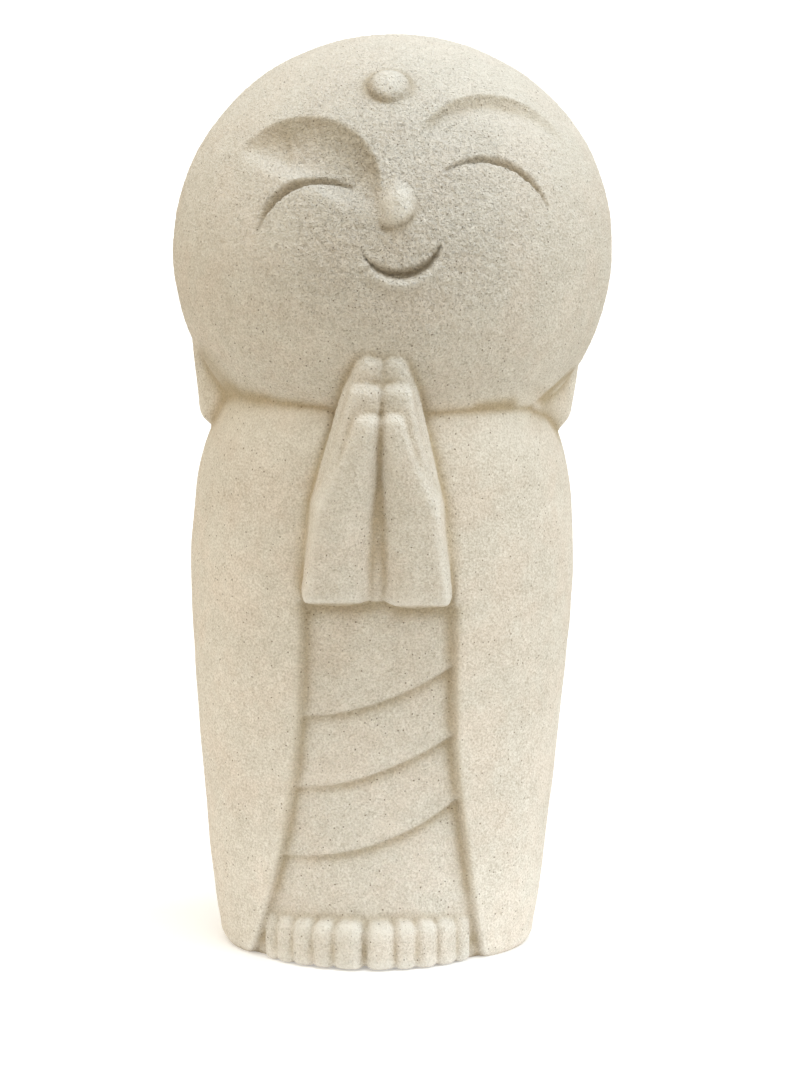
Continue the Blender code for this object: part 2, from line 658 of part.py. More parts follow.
def stone():
    material = bpy.data.materials.new("sandy_cast_stone")
    material.use_nodes = True
    shader = material.node_tree.nodes["Principled BSDF"]
    shader.inputs["Base Color"].default_value = STONE_COLOUR
    shader.inputs["Roughness"].default_value = STONE_ROUGHNESS
    shader.inputs["Metallic"].default_value = 0.0
    return material


def main():
    clear_scene()
    monk = block_out()
    bpy.context.scene.collection.objects.link(monk)
    fuse(monk)
    carve(monk)
    thin_out(monk)
    cut_flat(monk)
    monk.data.materials.append(stone())
    monk.data.shade_smooth()


main()
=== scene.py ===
# Praying monk, one piece of cast stone, dressed over its solid and lit as in the studio photograph.
# The forms are laid out in millimetres for a figure 400 mm high, and fitted to the frame's own height.

import math

import bmesh
import bpy
import numpy as np
from mathutils import Matrix, Vector, noise


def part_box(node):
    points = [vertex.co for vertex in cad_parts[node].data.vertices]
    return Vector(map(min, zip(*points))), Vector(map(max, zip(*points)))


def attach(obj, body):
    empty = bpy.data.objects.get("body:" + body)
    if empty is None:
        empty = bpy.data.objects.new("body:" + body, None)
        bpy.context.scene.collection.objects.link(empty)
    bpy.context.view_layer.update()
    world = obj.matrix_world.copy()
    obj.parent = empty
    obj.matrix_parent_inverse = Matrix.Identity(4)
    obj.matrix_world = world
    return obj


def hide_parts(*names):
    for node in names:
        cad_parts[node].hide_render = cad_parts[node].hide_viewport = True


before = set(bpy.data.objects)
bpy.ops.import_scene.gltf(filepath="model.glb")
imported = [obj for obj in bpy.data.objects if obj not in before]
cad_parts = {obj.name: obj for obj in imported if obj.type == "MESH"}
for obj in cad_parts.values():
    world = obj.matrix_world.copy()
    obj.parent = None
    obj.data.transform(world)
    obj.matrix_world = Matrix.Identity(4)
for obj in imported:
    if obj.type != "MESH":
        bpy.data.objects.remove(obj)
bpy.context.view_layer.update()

figure = {
    "node": "praying_monk",
    "piece": "monk_casting",
    "designHeight": 400.0,
    "cell": 0.75,  # mm between points when the forms are fused
    "softening": 3,  # rounds of smoothing after that
    "softeningShare": 0.5,  # how far a round takes each point
    "triangles": 190000,
    "ballFineness": 4,  # 1 is an icosahedron, and each one more quarters its faces
    "headFineness": 6,
}
tiny = 1e-9  # keeps a division from meeting nothing
lowCorner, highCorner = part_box(figure["node"])
perMm = (highCorner.z - lowCorner.z) / figure["designHeight"]
boxWidth = (highCorner.x - lowCorner.x) / perMm
boxMiddle = (highCorner.x + lowCorner.x) / 2 / perMm

head = {
    "radii": (boxWidth / 2, 88.0, 93.5),
    "centre": (boxMiddle, -2.0, 306.5),
    "fuller": 1.6,  # mm more at the upper right
    "faceTurn": 3.0,  # degrees, towards the viewer's right
    "faceLift": 19.0,
    "faceTilt": 5.5,
}


def smoothStep(low, high, value):
    t = np.clip((value - low) / (high - low), 0.0, 1.0)
    return t * t * (3 - 2 * t)


def between(share, places, value):  # the share, fading to 0 before the first place and past the last
    starts, full, fades, ends = places
    return share * smoothStep(starts, full, value) * smoothStep(ends, fades, value)


def hump(value, middle, width):  # 1 in the middle, and dying away to both sides
    return np.exp(-(((value - middle) / width) ** 2))


def addBall(forms, centre, radii, turn=0.0, fineness=figure["ballFineness"]):
    place = Matrix.Translation(centre) @ Matrix.Rotation(turn, 4, "Z") @ Matrix.Diagonal((*radii, 1))
    bmesh.ops.create_icosphere(forms, subdivisions=fineness, radius=1, matrix=place)


def addHead(forms):
    addBall(forms, headCentre, headRadii, fineness=figure["headFineness"])
    for v in forms.verts:
        across, up = ((v.co - headCentre)[i] / headRadii[i] for i in (0, 2))
        v.co.x += head["fuller"] * 2 * max(across, 0) * max(up, 0)


def addHull(forms, balls):  # one closed form stretched over (centre, radii, turn) balls
    shape = bmesh.new()
    for centre, radii, turn in balls:
        addBall(shape, centre, radii, turn)
    bmesh.ops.convex_hull(shape, input=shape.verts)
    bmesh.ops.delete(shape, geom=[v for v in shape.verts if not v.link_faces], context="VERTS")
    bmesh.ops.recalc_face_normals(shape, faces=shape.faces)
    mesh = bpy.data.meshes.new("form")
    shape.to_mesh(mesh)
    shape.free()
    forms.from_mesh(mesh)
    bpy.data.meshes.remove(mesh)


# head and the face's own axes: out of the face, across it, and up it
headRadii = Vector(head["radii"])
headCentre = Vector(head["centre"])
headBottom = headCentre.z - headRadii.z
faceAxes = (
    Matrix.Rotation(math.radians(head["faceTurn"]), 3, "Z")
    @ Matrix.Rotation(-math.radians(head["faceLift"]), 3, "X")
    @ Matrix.Rotation(-math.radians(head["faceTilt"]), 3, "Y")
)
faceOut = faceAxes @ Vector((0, -1, 0))
faceAcross = faceAxes @ Vector((1, 0, 0))
faceUp = faceAxes @ Vector((0, 0, 1))


def headSide(side, y, z):  # x of the ball's left or right side at y and z
    inside = 1 - ((y - headCentre.y) / headRadii.y) ** 2 - ((z - headCentre.z) / headRadii.z) ** 2
    return headCentre.x + side * headRadii.x * math.sqrt(max(0.0, inside))


robe = {
    "width": 167.0,
    "depth": 148.0,
    "top": headBottom + 51,
    "shift": 0.2,  # mm to the right of the origin
    "lean": 3.2,  # mm further to the right at the top than at the floor
    "squareness": (2.25, 2.6),  # of the body and of the shoulders
    "shoulders": (0.76, 0.9),  # shares of the height between which it changes
    "rings": 220,
    "segments": 320,
    # share of the height, of the width and of the depth
    "profile": (
        (-0.030, 0.770, 0.680),
        (0.000, 0.788, 0.698),
        (0.010, 0.812, 0.722),
        (0.035, 0.829, 0.740),
        (0.110, 0.865, 0.778),
        (0.240, 0.908, 0.832),
        (0.390, 0.950, 0.890),
        (0.550, 0.990, 0.950),
        (0.640, 1.000, 0.980),
        (0.725, 0.988, 0.998),
        (0.800, 0.960, 1.000),
        (0.850, 0.914, 0.992),
        (0.898, 0.850, 0.974),
        (0.924, 0.812, 0.950),
        (0.948, 0.735, 0.905),
        (0.978, 0.600, 0.740),
        (1.000, 0.360, 0.420),
    ),
}

opening = {
    # for the left and the right edge: distance from the middle, how much more at the floor,
    # height at which it starts to flare and how sharply it does
    "edges": ((33.3, 23.0, 165.0, 2.4), (35.6, 12.5, 105.0, 1.35)),
    "topHalfWidth": 19.0,
    "chest": 165.0,  # height from which it narrows and gets shallower towards the neck
    "depth": 3.6,
    "footDepth": 5.5,
    "footFrom": 80.0,  # height below which it deepens towards the feet
    "bevel": 4.2,  # mm across the slope at its edges
    "bulge": 0.45,  # share of the depth that the cloth swells back out in the middle
    "footBulge": 1.5,
    "topDepth": 0.3,  # share of the depth left at the neck
}


def profileCurve(at, table):  # smooth curve through the table's rows
    rows = np.array(table)
    knots, values = rows[:, 0], rows[:, 1:]
    slopes = np.gradient(values, knots, axis=0)
    low = np.clip(np.searchsorted(knots, at) - 1, 0, len(knots) - 2)
    span = (knots[low + 1] - knots[low])[:, None]
    t = (at - knots[low])[:, None] / span
    return (
        (2 * t**3 - 3 * t**2 + 1) * values[low]
        + (t**3 - 2 * t**2 + t) * span * slopes[low]
        + (3 * t**2 - 2 * t**3) * values[low + 1]
        + (t**3 - t**2) * span * slopes[low + 1]
    )


def openingSpan(z):  # left and right edge of the opening at height z
    chest = np.clip((z - opening["chest"]) / (robe["top"] - opening["chest"]), 0, 1)
    spans = []
    for side, (halfWidth, flare, flareFrom, power) in zip((-1, 1), opening["edges"]):
        flared = flare * np.clip((flareFrom - z) / flareFrom, 0, None) ** power
        spans.append(side * (halfWidth + flared - (halfWidth - opening["topHalfWidth"]) * chest))
    return spans


def openingRecess(x, z):  # how far the wrapped cloth lies behind the robe's surface
    left, right = openingSpan(z)
    inside = smoothStep(0, opening["bevel"], np.minimum(x - left, right - x))
    atFoot = smoothStep(opening["footFrom"], 0, z)
    depth = opening["depth"] + (opening["footDepth"] - opening["depth"]) * atFoot
    bulge = opening["bulge"] + (opening["footBulge"] - opening["bulge"]) * atFoot
    depth = depth * (1 - (1 - opening["topDepth"]) * smoothStep(opening["chest"], robe["top"], z))
    across = (2 * x - left - right) / (right - left)
    return inside * depth * (1 - bulge * np.clip(1 - across**2, 0, 1))


def addRobe(forms):
    shares = np.linspace(robe["profile"][0][0], robe["profile"][-1][0], robe["rings"])
    angles = np.linspace(0, 2 * math.pi, robe["segments"], endpoint=False)
    cos, sin = np.cos(angles), np.sin(angles)
    body, shoulders = robe["squareness"]
    rings = []
    for share, (width, depth) in zip(shares, profileCurve(shares, robe["profile"])):
        z = share * robe["top"]
        power = 2 / (body + (shoulders - body) * smoothStep(*robe["shoulders"], share))
        x = np.sign(cos) * np.abs(cos) ** power * width * robe["width"] / 2
        x += robe["shift"] + robe["lean"] * smoothStep(0, 1, share)
        y = np.sign(sin) * np.abs(sin) ** power * depth * robe["depth"] / 2
        y = np.where(y < 0, y + openingRecess(x, z), y)
        rings.append([forms.verts.new((a, b, z)) for a, b in zip(x, y)])
    for lower, upper in zip(rings, rings[1:]):
        for i in range(len(lower)):
            j = (i + 1) % len(lower)
            forms.faces.new((lower[i], lower[j], upper[j], upper[i]))
    forms.faces.new(rings[0][::-1])
    forms.faces.new(rings[-1])


hands = {
    "top": headBottom + 63,
    "length": 112.0,
    "heelProud": 11.0,  # mm in front of the robe
    "tipsProud": 7.0,  # mm in front of the chin
    "footShift": 0.3,  # x of the pair's middle at the heels and at the tips
    "topShift": 3.0,
    "leanPower": 2.2,  # how late the pair starts to lean over
    "palmLineShift": 0.6,
    # each layer: roundness of the edges along the palms and of the outer edges, then stations:
    # share of the length, half width of the pair, gap between the palms, set-back of the front,
    # depth and roundness
    "layers": (
        (2.5, 5.0, (
            (0.060, 32.2, 3.0, 6.5, 12.0, 6.5),
            (0.375, 28.8, 1.5, 5.5, 12.0, 12.0),
            (0.620, 22.0, -0.4, 4.8, 11.0, 9.0),
            (0.825, 16.5, -0.8, 5.6, 8.5, 6.8),
            (0.940, 11.9, -0.8, 4.6, 7.0, 6.6),
        )),
        (3.0, 2.6, (
            (0.470, 24.4, 0.2, 1.8, 11.0, 9.0),
            (0.650, 18.6, -0.5, 1.0, 9.0, 7.5),
            (0.838, 13.6, -0.5, 0.8, 6.5, 6.0),
        )),
        (8.5, 3.0, (
            (0.060, 32.2, 0.8, 0.0, 14.0, 6.5),
            (0.370, 28.0, 0.2, -0.8, 13.5, 12.0),
            (0.580, 17.4, -0.6, -2.6, 10.5, 8.0),
            (0.732, 11.6, -1.2, -3.2, 6.8, 5.6),
        )),
    ),
    "edgeShares": (0.92, 0.85),  # of a station's depth and roundness, kept at its edges
    "heels": 0.3,  # share of the length that the next two fade over
    "rightDrop": 1.2,  # mm that the right heel reaches further down
    "cornerRaise": 4.0,  # mm that the heels' inner corners lie higher
    # what lies between the palms, at its foot and its top: share of the length, half width and how
    # far it is behind the front
    "core": ((0.120, 12.0, 4.2), (0.900, 6.5, 5.6)),
    "coreDepth": 26.0,
}


def handsMiddle(share):
    lean = hands["topShift"] - hands["footShift"]
    return hands["footShift"] + lean * np.maximum(share, 0) ** hands["leanPower"]


def handsFront(share):  # the fingertips lean out to the chin, the heels rest on the robe
    rise = (hands["top"] - headCentre.z) / headRadii.z
    chin = headCentre.y - headRadii.y * math.sqrt(1 - rise * rise)
    foot = -robe["depth"] / 2 - hands["heelProud"]
    return foot + (chin - hands["tipsProud"] - foot) * share


def handsHeight(share):
    return hands["top"] - hands["length"] * (1 - share)


def handStation(side, innerEdge, outerEdge, station):  # a ball in the middle and one at either edge
    share, halfWidth, gap, setBack, depth, rounding = station
    inner = handsMiddle(share) + hands["palmLineShift"] + side * gap / 2
    outer = handsMiddle(share) + side * halfWidth
    half = abs(outer - inner) / 2
    y, z = handsFront(share) + setBack + depth, handsHeight(share)
    atHeel = smoothStep(hands["heels"], 0.0, share)
    z -= hands["rightDrop"] * (side > 0) * atHeel
    balls = [(Vector(((inner + outer) / 2, y, z)), (half, depth, rounding), 0.0)]
    depthShare, roundingShare = hands["edgeShares"]
    edges = ((inner, innerEdge, atHeel * hands["cornerRaise"]), (outer, -outerEdge, 0))
    for edge, radius, raised in edges:
        radius = math.copysign(min(abs(radius), half), radius)
        centre = Vector((edge + side * radius, y, z + raised))
        balls.append((centre, (abs(radius), depth * depthShare, rounding * roundingShare), 0.0))
    return balls


def addHands(forms):
    for side in (-1, 1):
        for innerEdge, outerEdge, stations in hands["layers"]:
            rings = [handStation(side, innerEdge, outerEdge, station) for station in stations]
            for lower, upper in zip(rings, rings[1:]):
                addHull(forms, lower + upper)
    core = []
    for share, halfWidth, behind in hands["core"]:
        y = handsFront(share) + behind + hands["coreDepth"] / 2
        centre = Vector((handsMiddle(share), y, handsHeight(share)))
        core.append((centre, (halfWidth, hands["coreDepth"] / 2, halfWidth), 0.0))
    addHull(forms, core)


feet = {
    # the toes' tips stand on half an ellipse
    "bowHalfWidth": 60.0,
    "bowDepth": 65.5,
    "bowShift": -2.0,
    "toeHeight": 21.0,
    "backHeight": 27.5,  # where the toes meet the robe
    "toeLength": 24.0,
    "rounding": 0.36,  # share of a toe's width
    "topRounding": 5.5,
    "soleRounding": 2.5,
    # x of the big toe's inner side, and the toes' widths from there
    "leftStart": -6.3,
    "leftToes": (13.7, 9.55, 10.8, 9.35, 7.8),
    "rightStart": -4.1,
    "rightToes": (12.7, 10.0, 10.3, 10.8, 8.0),
}


def addToes(forms):
    halfWidth, depth, shift = feet["bowHalfWidth"], feet["bowDepth"], feet["bowShift"]
    left, right = (-1, feet["leftStart"], feet["leftToes"]), (1, feet["rightStart"], feet["rightToes"])
    for side, start, widths in (left, right):
        angle = math.asin((start - shift) / halfWidth)
        for width in widths:
            turn = side * width / math.hypot(halfWidth * math.cos(angle), depth * math.sin(angle))
            middle = angle + turn / 2
            angle += turn
            front = Vector((shift + halfWidth * math.sin(middle), -depth * math.cos(middle), 0))
            out = Vector((math.sin(middle) / halfWidth, -math.cos(middle) / depth, 0)).normalized()
            along = Vector((-out.y, out.x, 0)) * width / 2
            radius = width * feet["rounding"]
            balls = []
            for back, top in ((radius, feet["toeHeight"]), (feet["toeLength"], feet["backHeight"])):
                for sideways in (-1, 1):
                    for height, rounding in (
                        (feet["soleRounding"], feet["soleRounding"]),
                        (top - feet["topRounding"], feet["topRounding"]),
                    ):
                        centre = front - out * back + along * sideways * (1 - 2 * feet["rounding"])
                        balls.append((centre + Vector((0, 0, height)), (radius, radius, rounding), 0.0))
            addHull(forms, balls)


ears = {
    "middle": 4.2,  # x between the ears
    # left and right ear: distance out from the middle, y, height above the head's bottom, radii
    "lobes": ((76.6, 6.0, 25.5, (5.0, 10.0, 8.5)), (76.1, 6.0, 24.8, (5.0, 10.0, 9.0))),
    "tips": ((70.8, 4.0, 18.3, (5.0, 8.5, 5.5)), (71.8, 4.0, 17.6, (5.0, 8.5, 5.5))),
    "cheeks": ((60.0, -14.0, 36.0, (4.0, 4.0, 4.0)), (62.5, -34.0, 33.0, (4.0, 4.0, 4.0))),
    # y, height above the head's bottom, radii; these lie against the head
    "neck": (20.0, 56.5, (4.5, 13.0, 12.0)),
    "top": (33.0, 86.0, (5.5, 17.0, 23.0)),
    "neckSinks": (0.4, 4.6),  # how deep the left and the right neck are sunk into the head
    "topSink": 1.5,
    # crease along the right ear's front: x and height above the head's bottom of both ends, width
    # of the step, its depth and the distance over which it fades
    "crease": ((68.6, 33.4), (84.6, 46.4), 0.4, 4.4, 7.0),
    "creaseStart": (-1.0, 2.0),  # mm past its start between which it reaches its full depth
    "creaseEnd": (2.0, -2.0),  # the same, past its end
    "creaseFront": (2.0, -8.0),  # the same, by y
    "hollowDepth": 3.5,
    "hollowRadii": (10.0, 20.0),
    "hollowEdge": (0.4, 1.0),  # squares of the shares of those radii between which it comes up
}


def addEars(forms):
    pairs = zip((-1, 1), ears["lobes"], ears["tips"], ears["cheeks"], ears["neckSinks"])
    for side, lobe, tip, cheek, neckSink in pairs:
        lobe, tip, cheek = (
            (Vector((ears["middle"] + side * out, y, headBottom + up)), radii, 0.0)
            for out, y, up, radii in (lobe, tip, cheek)
        )
        neck, top = (
            (Vector((headSide(side, y, headBottom + up) - side * sink, y, headBottom + up)), radii, 0.0)
            for (y, up, radii), sink in ((ears["neck"], neckSink), (ears["top"], ears["topSink"]))
        )
        addHull(forms, (lobe, tip, cheek))
        addHull(forms, (lobe, neck, cheek))
        addHull(forms, (neck, top))


face = {
    "reach": 0.35,  # share of the head's depth in front of its middle from which it is carved
    # raised forms: across and up in the face's plane, and height
    "nose": (-1.8, 1.2, 6.8),
    "noseReach": (8.2, 13.2, 5.9),  # to either side, up towards the bridge and down
    "noseEdge": (1.15, 0.8),  # power that rounds it off, and how much less that is below
    "noseSlant": 0.33,
    # half width, height above the tip, how far it is raised and the mm over which that starts
    "bridge": (9.0, 30.0, 1.5, 6.0),
    "noseNook": (-7.8, -4.6, 2.2, 2.0),  # across, up, radius and depth of a small pit beside the nose
    "nosePaintedShadow": (0.7, 1.05, 0.16),  # strength, then place and width as shares of the nose's reach
    "foreheadDot": (1.8, 58.4, 5.0),
    "foreheadDotReach": (9.0, 7.8),
    "foreheadDotSide": 225,  # degrees round it to where its rim is steepest and gets painted shade
    # powers of the distance and of the height that round it off, and how much less the second is
    # on that side
    "foreheadDotEdge": (2.4, 0.8, 0.3),
    "foreheadDotPaintedShade": (0.85, 0.92, 0.16),  # as for the nose
    # grooves between two arcs: centre and radius of the arc where the floor starts down and of the
    # arc where it comes back up, start, end and their tapers in degrees, and slope of the floor
    "eyes": (
        ((-36.9, -2.3), 25.0, (-34.8, -10.3), 28.6, 40, 174, 25, 25, 1.5),
        ((36.5, -5.0), 27.9, (34.4, -10.6), 30.4, 5, 134, 25, 25, 1.5),
    ),
    "mouth": ((-2.2, -2.6), 20.0, (-1.9, -9.6), 17.6, -143, -28, 4, 10, 1.6),
    "grooveBack": 0.78,  # share of a groove's width where its floor turns back up
    # recesses: centre and radius of the arc along the upper edge and of the arc where the floor starts
    # back up, start, end and tapers in degrees, then the width that is cut to full depth, the depth,
    # the distance over which the floor comes back up, how steeply it starts and how much painted shade
    # its edge gets
    "brows": (
        ((-40.6, 16.8), 33.2, (-80.6, -38.4), 81.0, -34, 150, 14, 4, (14.0, 6.6, 12.0, 2.6, 0.85)),
        ((42.3, 15.5), 36.2, (43.3, 13.6), 34.0, 24, 146, 50, 12, (3.6, 2.8, 16.0, 1.6, 0.9)),
    ),
    "lipRaise": 2.7,  # the ridge under the mouth
    "lipWidth": 2.0,
    "lipMiddle": -90,  # degrees round the mouth's second arc
    "lipSpread": 52,  # degrees to either side
    "addedShade": 0.3,  # crevice shade per mm of a groove's depth
}


def blockOut():
    forms = bmesh.new()
    addHead(forms)
    addRobe(forms)
    addHands(forms)
    addToes(forms)
    addEars(forms)
    mesh = bpy.data.meshes.new(figure["piece"])
    forms.to_mesh(mesh)
    forms.free()
    return bpy.data.objects.new(figure["piece"], mesh)


def keepResult(obj):  # the modifiers' result becomes the object's own mesh
    graph = bpy.context.evaluated_depsgraph_get()
    result = bpy.data.meshes.new_from_object(obj.evaluated_get(graph))
    before = obj.data
    obj.modifiers.clear()
    obj.data = result
    bpy.data.meshes.remove(before)


def fuse(obj):
    remesh = obj.modifiers.new("fuse", "REMESH")
    remesh.mode = "VOXEL"
    remesh.voxel_size = figure["cell"]
    soften = obj.modifiers.new("soften", "SMOOTH")
    soften.factor = figure["softeningShare"]
    soften.iterations = figure["softening"]
    keepResult(obj)


def arcOffset(across, up, centre, radius):  # distance outside the circle, and the angle round it
    a, b = across - centre[0], up - centre[1]
    return np.hypot(a, b) - radius, np.degrees(np.arctan2(b, a))


def alongArc(angle, start, end, startTaper, endTaper):
    share = np.minimum((angle - start) / startTaper, (end - angle) / endTaper)
    return np.sqrt(np.clip(share, 0, 1))


def grooveDepth(across, up, groove, side):  # side is 1 where the groove lies inside its first arc
    centre, radius, farCentre, farRadius, start, end, startTaper, endTaper, slope = groove
    offset, angle = arcOffset(across, up, centre, radius)
    near, far = -side * offset, side * arcOffset(across, up, farCentre, farRadius)[0]
    share = near / np.maximum(near + far, tiny)
    inside = (near > 0) & (far > 0)
    depth = slope * near * (1 - smoothStep(face["grooveBack"], 1, share))
    return inside * depth * alongArc(angle, start, end, startTaper, endTaper)


def recess(across, up, brow):  # depth of the recess, and the painted shade along its upper edge
    centre, radius, farCentre, farRadius, start, end, startTaper, endTaper, cut = brow
    width, depth, back, steepness, addedShade = cut
    offset, angle = arcOffset(across, up, centre, radius)
    near, far = np.maximum(-offset, 0), arcOffset(across, up, farCentre, farRadius)[0]
    spread = np.maximum(near + far, tiny)
    full = alongArc(angle, start, end, startTaper, endTaper)
    full = full * np.clip(spread / width, 0, 1) * (near + far > 0)
    down = np.clip(near / spread, 0, 1)
    into = 1 - (1 - down) ** steepness
    return full * depth * into * (1 - smoothStep(0, back, -far)), full * addedShade * (1 - down) * (near > 0)


def dotReach(across, up):  # 1 at the rim of the dot on the forehead, and 1 where it faces its steep side
    x, y, _ = face["foreheadDot"]
    side, upwards = face["foreheadDotReach"]
    turn = np.arctan2(up - y, across - x) - math.radians(face["foreheadDotSide"])
    return np.hypot((across - x) / side, (up - y) / upwards), np.cos(turn)


def dotRelief(across, up):
    far, facing = dotReach(across, up)
    outwards, rounding, less = face["foreheadDotEdge"]
    return face["foreheadDot"][2] * np.clip(1 - far**outwards, 0, 1) ** (rounding - less * facing)


def dotPaintedShade(across, up):  # a crescent of painted shade under the dot
    far, facing = dotReach(across, up)
    strength, middle, width = face["foreheadDotPaintedShade"]
    return strength * hump(far, middle, width) * np.clip(facing, 0, 1)


def noseReach(across, up):  # 1 at the edge of the nose's tip, and 1 where it faces down
    x, y, _ = face["nose"]
    side, upwards, downwards = face["noseReach"]
    a, b = across - x, up - y - face["noseSlant"] * (across - x)
    a, b = a / side, b / np.where(b > 0, upwards, downwards)
    far = np.hypot(a, b)
    return far, np.clip(-b / np.maximum(far, tiny), 0, 1)


def nosePaintedShadow(across, up):  # a thin line of painted shadow under the nose
    far, crisp = noseReach(across, up)
    strength, middle, width = face["nosePaintedShadow"]
    return strength * hump(far, middle, width) * crisp


def noseRelief(across, up):  # a round tip with a crisp edge below, and a low bridge above
    x, y, height = face["nose"]
    far, crisp = noseReach(across, up)
    rounding, less = face["noseEdge"]
    tip = height * np.clip(1 - far**2, 0, 1) ** (rounding - less * crisp)
    width, length, raised, start = face["bridge"]
    above = up - y
    bridge = raised * hump(across, x, width) * smoothStep(0, start, above)
    return tip + bridge * smoothStep(length, start, above)


def faceRelief(across, up):  # above 0 is raised, below 0 is cut
    relief = -grooveDepth(across, up, face["mouth"], -1)
    for eye, brow in zip(face["eyes"], face["brows"]):
        relief -= grooveDepth(across, up, eye, 1) + recess(across, up, brow)[0]
    relief += dotRelief(across, up) + noseRelief(across, up)
    x, y, radius, depth = face["noseNook"]
    relief -= depth * np.exp(-((across - x) ** 2 + (up - y) ** 2) / radius**2)
    centre, radius = face["mouth"][2:4]
    offset, angle = arcOffset(across, up, centre, radius)
    lip = hump(offset, face["lipWidth"], face["lipWidth"])
    middle, spread = face["lipMiddle"], face["lipSpread"]
    along = alongArc(angle, middle - spread, middle + spread, spread, spread)
    return relief + face["lipRaise"] * lip * along


# painted shade in the grooves, along the recesses' upper edges, under the dot and under the nose
def facePaintedShade(across, up):
    addedShade = face["addedShade"] * grooveDepth(across, up, face["mouth"], -1)
    addedShade += dotPaintedShade(across, up)
    addedShade += nosePaintedShadow(across, up)
    for eye, brow in zip(face["eyes"], face["brows"]):
        addedShade += face["addedShade"] * grooveDepth(across, up, eye, 1) + recess(across, up, brow)[1]
    return addedShade


def inFacePlane(points):
    offset = points - np.array(headCentre)
    return offset @ np.array(faceAcross), offset @ np.array(faceUp), offset @ np.array(faceOut)


def carveFace(points):  # along the head's normals
    across, up, out = inFacePlane(points)
    normal = (points - np.array(headCentre)) / np.array(headRadii) ** 2
    normal /= np.linalg.norm(normal, axis=1)[:, None]
    return points + normal * (faceRelief(across, up) * (out > face["reach"] * headRadii.y))[:, None]


folds = {
    # height at the left edge, rise to the right edge and how late it rises
    "lines": ((112.5, 24.5, 1.8), (80.0, 26.0, 1.8), (48.5, 28.5, 2.1)),
    "step": 2.2,
    "leftStep": 0.4,  # share of the step at the left edge
    "stepGrows": 0.4,  # share of the cloth's width over which it grows to full
    "reach": 12.0,  # mm over which the cloth under a fold comes back out
    "edge": 1.0,  # mm over which it steps down
    "bevelKept": 0.2,  # share of the opening's bevel that stays free of folds
}


def carveFolds(points):
    x, z = points[:, 0], points[:, 2]
    left, right = openingSpan(z)
    share = np.clip((x - left) / (right - left), 0, 1)
    depth = np.zeros(len(points))
    for leftHeight, rise, power in folds["lines"]:
        below = leftHeight + rise * share**power - z
        step = smoothStep(-folds["edge"] / 2, folds["edge"] / 2, below)
        grown = smoothStep(0, folds["stepGrows"], share)
        size = folds["step"] * (folds["leftStep"] + (1 - folds["leftStep"]) * grown)
        depth += size * step * np.exp(-np.maximum(below, 0) / folds["reach"])
    free = opening["bevel"] * folds["bevelKept"]
    depth *= smoothStep(free, opening["bevel"], np.minimum(x - left, right - x))
    inCloth = (points[:, 1] < 0) & (z > feet["toeHeight"]) & (z < opening["chest"])
    moved = points.copy()
    moved[:, 1] += depth * inCloth
    return moved


def carveEars(points):
    y, up, _ = ears["top"]
    reach = ((points[:, 1] - y) / ears["hollowRadii"][0]) ** 2
    reach += ((points[:, 2] - headBottom - up) / ears["hollowRadii"][1]) ** 2
    side = np.sign(points[:, 0] - headCentre.x)
    moved = points.copy()
    moved[:, 0] -= side * ears["hollowDepth"] * (1 - smoothStep(*ears["hollowEdge"], reach))
    return moved


def carveCrease(points):  # the right ear starts behind the edge of the head
    (x1, up1), (x2, up2), width, depth, fade = ears["crease"]
    length = math.hypot(x2 - x1, up2 - up1)
    a, b = (x2 - x1) / length, (up2 - up1) / length
    x, up = points[:, 0] - x1, points[:, 2] - headBottom - up1
    below, along = x * b - up * a, x * a + up * b
    share = smoothStep(0, width, below) * np.exp(-np.maximum(below, 0) / fade)
    ending = [length + past for past in ears["creaseEnd"]]
    share *= smoothStep(*ears["creaseStart"], along) * smoothStep(*ending, along)
    share *= smoothStep(*ears["creaseFront"], points[:, 1])
    moved = points.copy()
    moved[:, 1] += depth * share
    return moved


def readPoints(mesh, what="co"):
    values = np.empty(len(mesh.vertices) * 3, np.float32)
    mesh.vertices.foreach_get(what, values)
    return values.reshape(-1, 3).astype(float)


def writePoints(mesh, points):
    mesh.vertices.foreach_set("co", points.astype(np.float32).ravel())
    mesh.update()


def carve(obj):
    points = readPoints(obj.data)
    for tool in (carveFace, carveFolds, carveEars, carveCrease):
        points = tool(points)
    writePoints(obj.data, points)


grain = {
    "lumpSize": 2.0,  # mm across a lump of the rough skin
    "lumpHeight": 0.5,
    "halfLumps": 0.5,  # share of that height that lumps of half the size add
    "pitSize": 1.7,
    "pitDepth": 0.45,
    "pitEdge": (0.15, 0.6),  # noise between which a pit goes from nothing to its full depth
    "pitShift": (31.0, 17.0, 53.0),  # so that the pits don't follow the lumps
    "waveSize": 17.0,  # slow unevenness of the whole casting
    "waveHeight": 0.35,
    # across, up and reach of the roughest part of the face, the share of the distance up or down
    # that counts and how sharply it ends
    "roughFace": (0.0, 6.0, 56.0, 0.9, 3),
    "roughFaceFrom": 0.2,  # share of the head's depth in front of its middle
    "smoothNose": (0.6, 11.0, 4),  # how much smoother the nose's tip is, its reach and its end
    # roughness of the robe, of the head, and of the hands, cloth and toes
    "robe": 0.16,
    "head": 0.45,
    "front": 0.42,
    "frontEdge": (-2.0, 4.0),  # mm inside the opening between which the front's takes over
    "headEdge": (34.0, 44.0),  # mm above the head's bottom between which the head's does
}


